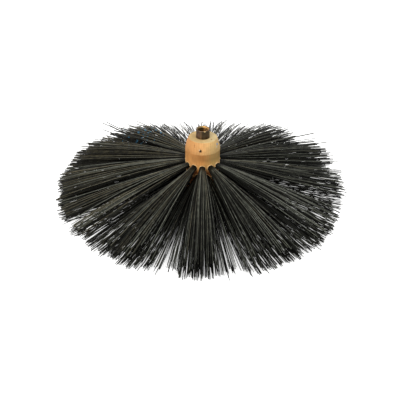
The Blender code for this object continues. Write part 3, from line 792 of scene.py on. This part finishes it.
def tuftMesh(row, number, unit, places):
    lay = tuftLay.get((row, number), {})
    facts = tuftRows[row]
    chance = random.Random(f"{bristle['seed']} {row} {number}")
    rowHeight, turn = holes["rows"][row]
    tipMiddle, tipSpread = facts["tip"] * lay.get("height", 1), facts["spread"] * lay.get("height", 1)
    halfWidth = facts["halfWidth"] * lay.get("width", 1)
    aside, raised, longer = inMetres(lay.get(key, 0) for key in ("aside", "raise", "longer"))
    reach = bristle["reach"] + longer
    part = lay.get("part", 0)
    fanPower = lay.get("fanPower", bristle["fanPower"])
    shade = lay.get("shade", facts["shade"])
    strayY, strayZ = (span * lay.get("stray", 1) for span in bristle["stray"])
    meanBack, clumpBack, ownBack = bristle["tipBack"]
    toneByOne, toneByClump = bristle["toneSpread"]
    warmByOne, warmByClump = bristle["warmthSpread"]
    loose, packing, (puffY, puffZ) = bristle["loose"], bristle["packing"], bristle["puff"]
    bundle = places[-1].length
    outside = 1.1 * bundle ** 2    # squared distance just past the bundle's outermost place
    fall = math.tan(math.radians(holes["droop"]))
    chosen = chance.sample(places, round(len(places) * lay.get("count", 1)))
    chosen.sort(key=lambda place: place.x + bristle["shuffle"] * chance.random())
    count = len(chosen)
    ends = lay.get("ends", ())
    bm = strandMesh()
    pale, clumps = highlitFrom(chosen), clumpsAcross(count, chance)
    for rank, (place, start, clump) in enumerate(zip(chosen, pale, clumps)):
        clumpMiddle, clumpLength, clumpTone, clumpWarmth = clump
        fan = 2 * (rank + 0.5) / count - 1
        held = min(max(fan + (clumpMiddle - fan) * bristle["clumpHold"], -1), 1)
        across = math.asin(fan) / (math.pi / 2)
        atTip = math.asin(held) / (math.pi / 2)
        drawn = (atTip + math.copysign(part * (1 - abs(atTip)), atTip) - across) * halfWidth
        tipY = across * halfWidth + chance.gauss(0, 1) * strayY + aside
        level = place.y / math.sqrt(outside - place.x ** 2)    # -1 to 1, low to high in the tuft
        tipZ = tipMiddle + level * tipSpread + chance.gauss(0, 1) * strayZ + raised
        length = reach - meanBack - clumpBack * clumpLength + chance.gauss(0, 1) * ownBack
        thick = lay.get("thick", 1)
        if chance.random() < bristle["looseShare"] * lay.get("loose", 1):
            tipY += chance.gauss(0, 1) * loose
            tipZ += chance.random() * loose
            length += chance.uniform(*bristle["looseLength"]) * loose
            thick *= bristle["looseThick"]
        if count - rank <= len(ends):
            tipY, tipZ, length = inMetres(ends[count - rank - 1])
            thick *= bristle["looseThick"]
            drawn = 0
        radius = bristle["width"] / 2 * chance.uniform(*bristle["widthShares"]) * thick
        run = math.sqrt(length ** 2 - tipY ** 2) - stock["radius"]
        rootY, rootZ = place.x * packing, place.y * packing
        sag = tipZ - rowHeight - rootZ + fall * run
        waveY, waveZ = chance.gauss(0, 1) * bristle["wave"], chance.gauss(0, 1) * bristle["wave"]
        # the tuft's tone shift is painted light and shade
        ownTone = toneByOne * chance.random() + toneByClump * clumpTone + lay.get("tone", 0)
        line, tones = [], []
        for station in bristle["stations"]:
            along = max(station, 0)
            taper = 1 + min(station, 0) * bristle["rootTaper"]
            y = rootY * taper + (tipY - rootY) * along ** fanPower + drawn * along ** bristle["clumpPower"]
            z = rootZ * taper - fall * run * station + sag * along ** 2
            swell = math.sin(math.pi * along)
            y += (waveY * along + puffY * across) * swell
            z += (waveZ * along + puffZ * place.y / bundle) * swell
            z = max(z, radius - rowHeight)    # no lower than the floor
            line.append(Vector((stock["radius"] + run * station, y, z)))
            # painted shade near the root, fading to the tips; painted light where shade is below 0
            lost = shade * (1 - along ** bristle["shadePower"])
            tones.append(bristle["tones"][station >= start] + ownTone - lost)
        layStrand(bm, unit, line, radius, tones, clumpWarmth * warmByClump + chance.random() * warmByOne)
    bmesh.ops.transform(bm, verts=bm.verts, matrix=Matrix.Translation((0, 0, rowHeight))
                        @ Matrix.Rotation(holeAzimuth(number - 1, turn), 4, "Z"))
    mesh = meshOf(bm, f"{row}Tuft{number:02d}")
    mesh.shade_smooth()
    return mesh


finish = {
    "dark": "#050505",
    "middle": "#181913",
    # top of the tone ramp, worn by the painted highlight lines
    "light": "#85887a",
    "dust": (7.143 * mm, 0.5),    # width of its clouds, and how much they change the tone
    "warm": "#f2dcba",
    "warmer": (-1.3, 1.3, 0),    # how the warm ones grow in share to the left and back, by the metre
    "shine": (0.0, 0.36),    # of the lowest and the highest tone
    "paint": "#447c9b",
    "paintPlace": (-98 * mm, 120 * mm, 30 * mm),
    "paintReach": 85 * mm,
    "paintSpacing": 11 * mm,    # from one fleck to the next
    "paintSize": 0.33,    # largest, as a share of that
}


def drawnBristle():    # extruded plastic bristle: near black, with a satin line of light along each, and painted highlight lines along some
    material, tree, shader, place = newMaterial("extruded_polypropylene_bristle")
    tone = addNode(tree, "Attribute", attribute_name="tone")
    warmth = addNode(tree, "Attribute", attribute_name="warmth")
    dustWidth, dustShare = finish["dust"]
    dust = addNode(tree, "TexNoise", {"Vector": place}, {"Scale": 1 / dustWidth, "Detail": 4.0})
    dusty = addNode(tree, "Math", {0: (dust, "Fac"), 2: (tone, "Fac")}, {1: dustShare},
                    operation="MULTIPLY_ADD")
    level = addNode(tree, "Math", {0: (dusty, "Value")}, {1: dustShare / 2}, operation="SUBTRACT")
    colour = addNode(tree, "ValToRGB", {"Fac": (level, "Value")},
                     stops=[(0.0, finish["dark"]), (0.45, finish["middle"]), (1.0, finish["light"])])
    leftBack = addNode(tree, "VectorMath", {0: place}, {1: finish["warmer"]}, operation="DOT_PRODUCT")
    rusty = addNode(tree, "Math", {0: (leftBack, "Value"), 1: (warmth, "Fac")}, operation="ADD")
    warmShare = addNode(tree, "MapRange", {"Value": (rusty, "Value")}, {"From Min": 0.4, "From Max": 0.9})
    colour = addNode(tree, "MixRGB", {"Fac": (warmShare, "Result"), "Color1": (colour, "Color")},
                     {"Color2": hexColour(finish["warm"])}, blend_type="MULTIPLY")
    flecks = addNode(tree, "TexVoronoi", {"Vector": place}, {"Scale": 1 / finish["paintSpacing"]})
    away = addNode(tree, "VectorMath", {0: place}, {1: finish["paintPlace"]}, operation="DISTANCE")
    fleckSize = addNode(tree, "MapRange", {"Value": (away, "Value")},
                        {"From Max": finish["paintReach"], "To Min": finish["paintSize"], "To Max": 0.0})
    isPaint = addNode(tree, "Math", {0: (flecks, "Distance"), 1: (fleckSize, "Result")},
                      operation="LESS_THAN")
    colour = addNode(tree, "MixRGB", {"Fac": (isPaint, "Value"), "Color1": (colour, "Color")},
                     {"Color2": hexColour(finish["paint"])})
    roughness = addNode(tree, "MapRange", {"Value": (dust, "Fac")},
                        {"From Min": 0.3, "From Max": 0.7, "To Min": 0.36, "To Max": 0.55})
    shine = addNode(tree, "MapRange", {"Value": (tone, "Fac")},
                    {"To Min": finish["shine"][0], "To Max": finish["shine"][1]})
    setNode(tree, shader, {"Base Color": (colour, "Color"), "Roughness": (roughness, "Result"),
                           "Specular IOR Level": (shine, "Result")})
    return material


bristleMaterial = drawnBristle()
unit = unitStrand()
bundlePlaces = packedPlaces(bristle["count"])
for row in holes["rows"]:
    for number in range(1, holes["perRow"] + 1):
        addPiece(f"{row}_bristles_{number:02d}", tuftMesh(row, number, unit, bundlePlaces),
                 bristleMaterial, [f"{row}_tuft_{number:02d}"])
print("tufts laid:", len(holes["rows"]) * holes["perRow"])


# Wire staples, one to a hole, that the tufts are folded round

staple = {
    "radius": 0.6 * mm,
    "crown": -9.3 * mm,
    "legEnd": -17.8 * mm,
    "legOffset": 2.1 * mm,
    "bend": 0.9 * mm,
    "tones": ("#7e8082", "#b4b6b8"),
    "spangle": 2 * mm,
}


def stapleMesh(row, unit):    # each a round wire bent to a U
    crown, aside, bend = staple["crown"], staple["legOffset"], staple["bend"]
    midBend = 0.3 * bend
    half = [(staple["legEnd"], aside), (crown - bend, aside), (crown - midBend, aside - midBend),
            (crown, aside - bend)]
    line = [Vector((x, y, 0)) for x, y in half] + [Vector((x, -y, 0)) for x, y in reversed(half)]
    upright = Matrix.Rotation(math.pi / 2, 4, "X")
    bm = strandMesh()
    for index in range(holes["perRow"]):
        first = len(bm.verts)
        layStrand(bm, unit, line, staple["radius"], [0] * len(line), 0)
        bmesh.ops.transform(bm, verts=bm.verts[first:], matrix=holePlace(row, index) @ upright)
    mesh = meshOf(bm, f"{row}Staples")
    mesh.shade_smooth()
    return mesh


def galvanisedWire():    # drawn wire: soft grey shine with a faint spangle
    material, tree, shader, place = newMaterial("galvanised_drawn_wire")
    spangle = addNode(tree, "TexNoise", {"Vector": place}, {"Scale": 1 / staple["spangle"], "Detail": 2.0})
    colour = addNode(tree, "ValToRGB", {"Fac": (spangle, "Fac")}, stops=zip((0.3, 0.7), staple["tones"]))
    bump = addNode(tree, "Bump", {"Height": (spangle, "Fac")}, {"Strength": 0.2, "Distance": 0.05 * mm})
    setNode(tree, shader, {"Base Color": (colour, "Color"), "Normal": (bump, "Normal")},
            {"Metallic": 1.0, "Roughness": 0.42})
    return material


wireMaterial = galvanisedWire()
for row in holes["rows"]:
    addPiece(f"{row}_wire_staples", stapleMesh(row, unit), wireMaterial)
print("staples set")


# Pale floor, soft lamps and the camera

studio = {
    "floorSize": 12.0,
    "floor": ("#e4e4e2", "#e6e6e5"),
    "floorGrain": 1 / 3,    # of a metre, from one of those tones to the other and back
    "floorGlow": 0.65,    # what the camera sees beside its lit colour, so that it ends white
    "shadeMiddle": (0, -30 * mm, 0),
    "shade": (80 * mm, 190 * mm),    # from that point out, where the glow is none and where it is full: painted shade round the brush
    "world": 0.55,
    "lampAim": (0, 0, 40 * mm),
    "key": {"place": (-0.9, -1.2, 1.9), "size": 1.4, "power": 34},
    "top": {"place": (0.3, 0.2, 2.2), "size": 1.8, "power": 26},
}
view = {
    "lens": 49.5,
    "sensor": 36.0,
    "elevation": 33.77,
    "distance": 0.90487,
    "aimHeight": -28 * mm,
    "roll": 1.0,
    "imageWidth": 400,
    "middle": (201.7, 202.63),    # where the lens points in the photo, from its left and top
}


def sharpRays(tree):    # 1 for what the camera sees, straight, in a mirror or through glass
    seen = addNode(tree, "LightPath")
    sharp = addNode(tree, "Math", {0: (seen, "Is Camera Ray"), 1: (seen, "Is Glossy Ray")},
                    operation="MAXIMUM")
    return addNode(tree, "Math", {0: (sharp, "Value"), 1: (seen, "Is Transmission Ray")},
                   operation="MAXIMUM")


def addFloor():
    bm = bmesh.new()
    bmesh.ops.create_grid(bm, x_segments=4, y_segments=4, size=studio["floorSize"] / 2)
    floor = newObject("floor", meshOf(bm, "floor"))
    material, tree, shader, place = newMaterial("pale_paper_floor")
    grain = addNode(tree, "TexNoise", None, {"Scale": 1 / studio["floorGrain"]})
    paleA, paleB = (hexColour(code) for code in studio["floor"])
    colour = addNode(tree, "MixRGB", {"Fac": (grain, "Fac")}, {"Color1": paleA, "Color2": paleB})
    # painted shade: the floor's glow fades out round the brush
    away = addNode(tree, "VectorMath", {0: place}, {1: studio["shadeMiddle"]}, operation="DISTANCE")
    share = addNode(tree, "MapRange", {"Value": (away, "Value")},
                    {"From Min": studio["shade"][0], "From Max": studio["shade"][1],
                     "To Max": studio["floorGlow"]})
    glow = addNode(tree, "Math", {0: (sharpRays(tree), "Value"), 1: (share, "Result")},
                   operation="MULTIPLY")
    setNode(tree, shader, {"Base Color": (colour, "Color"), "Emission Strength": (glow, "Value")},
            {"Emission Color": (1, 1, 1, 1), "Roughness": 0.9, "Specular IOR Level": 0.0})
    floor.data.materials.append(material)


def addLamp(name):
    facts = studio[name]
    lamp = bpy.data.lights.new(name, "AREA")
    lamp.shape = "DISK"
    lamp.size = facts["size"]
    lamp.energy = facts["power"]
    holder = newObject(name, lamp)
    holder.location = facts["place"]
    ahead = Vector(studio["lampAim"]) - holder.location
    holder.rotation_euler = ahead.to_track_quat("-Z", "Y").to_euler()


def setWorld():
    world = bpy.data.worlds.new("white_surround")
    bpy.context.scene.world = world
    world.use_nodes = True
    tree = world.node_tree
    strength = addNode(tree, "MapRange", {"Value": (sharpRays(tree), "Value")},
                       {"To Min": studio["world"], "To Max": 1.0})
    setNode(tree, tree.nodes["Background"], {"Strength": (strength, "Result")}, {"Color": (1, 1, 1, 1)})


def addCamera():
    data = bpy.data.cameras.new("photo_view")
    data.lens, data.sensor_width = view["lens"], view["sensor"]
    half = view["imageWidth"] / 2
    data.shift_x = -(view["middle"][0] - half) / view["imageWidth"]
    data.shift_y = (view["middle"][1] - half) / view["imageWidth"]
    camera = newObject("photo_view", data)
    rise = math.radians(view["elevation"])
    place = Vector((0, -view["distance"] * math.cos(rise),
                    view["aimHeight"] + view["distance"] * math.sin(rise)))
    camera.matrix_world = (Matrix.Translation(place) @ Matrix.Rotation(math.pi / 2 - rise, 4, "X")
                           @ Matrix.Rotation(math.radians(view["roll"]), 4, "Z"))
    bpy.context.scene.camera = camera


addFloor()
setWorld()
addLamp("key")
addLamp("top")
addCamera()
bpy.context.scene.view_settings.view_transform = "Standard"
print("stage set")
